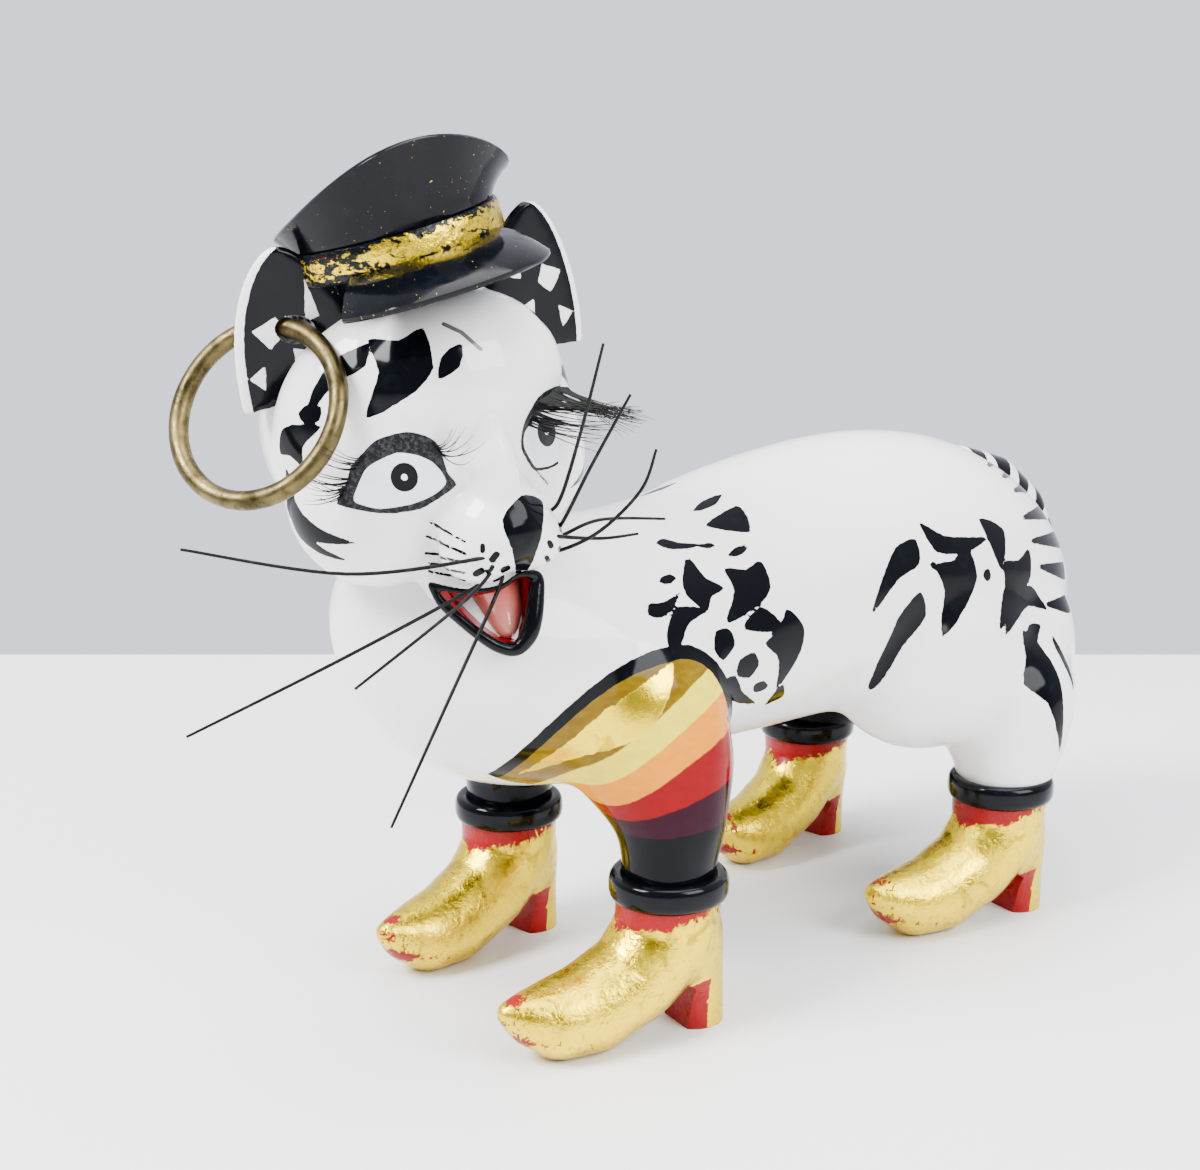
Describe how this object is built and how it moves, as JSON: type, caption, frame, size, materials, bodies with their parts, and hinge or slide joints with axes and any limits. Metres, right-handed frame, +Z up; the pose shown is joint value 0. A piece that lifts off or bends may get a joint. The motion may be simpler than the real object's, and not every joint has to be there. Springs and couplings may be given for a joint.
{
  "type": "cat figurine",
  "caption": "Hand-painted wooden cat figurine standing in boots, with a cap, wire whiskers and a hoop earring that swings in its ear.",
  "frame": {"origin": "centre of the bounding box in plan, on the floor under the boot soles", "axes": "+Z up, -Y forward along the cat's body towards its head, +X to the cat's left; the head looks mostly to the cat's left front"},
  "size_m": [0.0586, 0.1662, 0.118],
  "materials": {
    "white_lacquer": "glossy white lacquer over carved wood, with hand-painted patches",
    "black_lacquer": "glossy black lacquer over carved wood",
    "stocking": "glossy lacquer in bands of gold, yellow, orange, red and plum",
    "gold_leaf": "crinkled gold leaf on carved wood, worn through to red lacquer at the edges",
    "aged_brass": "dark antique brass, brighter where it rubs",
    "bristle": "black painted wire, satin",
    "steel_wire": "plain drawn wire, hidden inside the joints"
  },
  "bodies": {
    "figure": {"cap_band": "gold_leaf", "cap_crown": "black_lacquer", "cap_peak": "black_lacquer", "cap_pin": "steel_wire", "head": "white_lacquer", "left_ear": "black_lacquer", "left_ear_pin": "steel_wire", "left_front_boot": "gold_leaf", "left_front_cuff": "black_lacquer", "left_front_leg": "stocking", "left_front_leg_pin": "steel_wire", "left_lashes": "bristle", "left_rear_boot": "gold_leaf", "left_rear_cuff": "black_lacquer", "left_rear_leg": "white_lacquer", "left_rear_leg_pin": "steel_wire", "left_whisker_1": "bristle", "left_whisker_2": "bristle", "left_whisker_3": "bristle", "left_whisker_4": "bristle", "left_whisker_5": "bristle", "neck_pin": "steel_wire", "right_ear": "black_lacquer", "right_ear_pin": "steel_wire", "right_front_boot": "gold_leaf", "right_front_cuff": "black_lacquer", "right_front_leg": "black_lacquer", "right_front_leg_pin": "steel_wire", "right_lashes": "bristle", "right_rear_boot": "gold_leaf", "right_rear_cuff": "black_lacquer", "right_rear_leg": "black_lacquer", "right_rear_leg_pin": "steel_wire", "right_whisker_1": "bristle", "right_whisker_2": "bristle", "right_whisker_3": "bristle", "right_whisker_4": "bristle", "tail": "white_lacquer", "tail_pin": "steel_wire", "torso": "white_lacquer"},
    "earring": {"earring_hoop": "aged_brass"}
  },
  "joints": [
    {"name": "earring_swing", "type": "hinge", "parent": "figure", "child": "earring", "pos_m": [-0.00043, -0.06288, 0.09393], "axis": [-0.9078, -0.3587, 0.2174], "range_deg": [0, 42]}
  ]
}
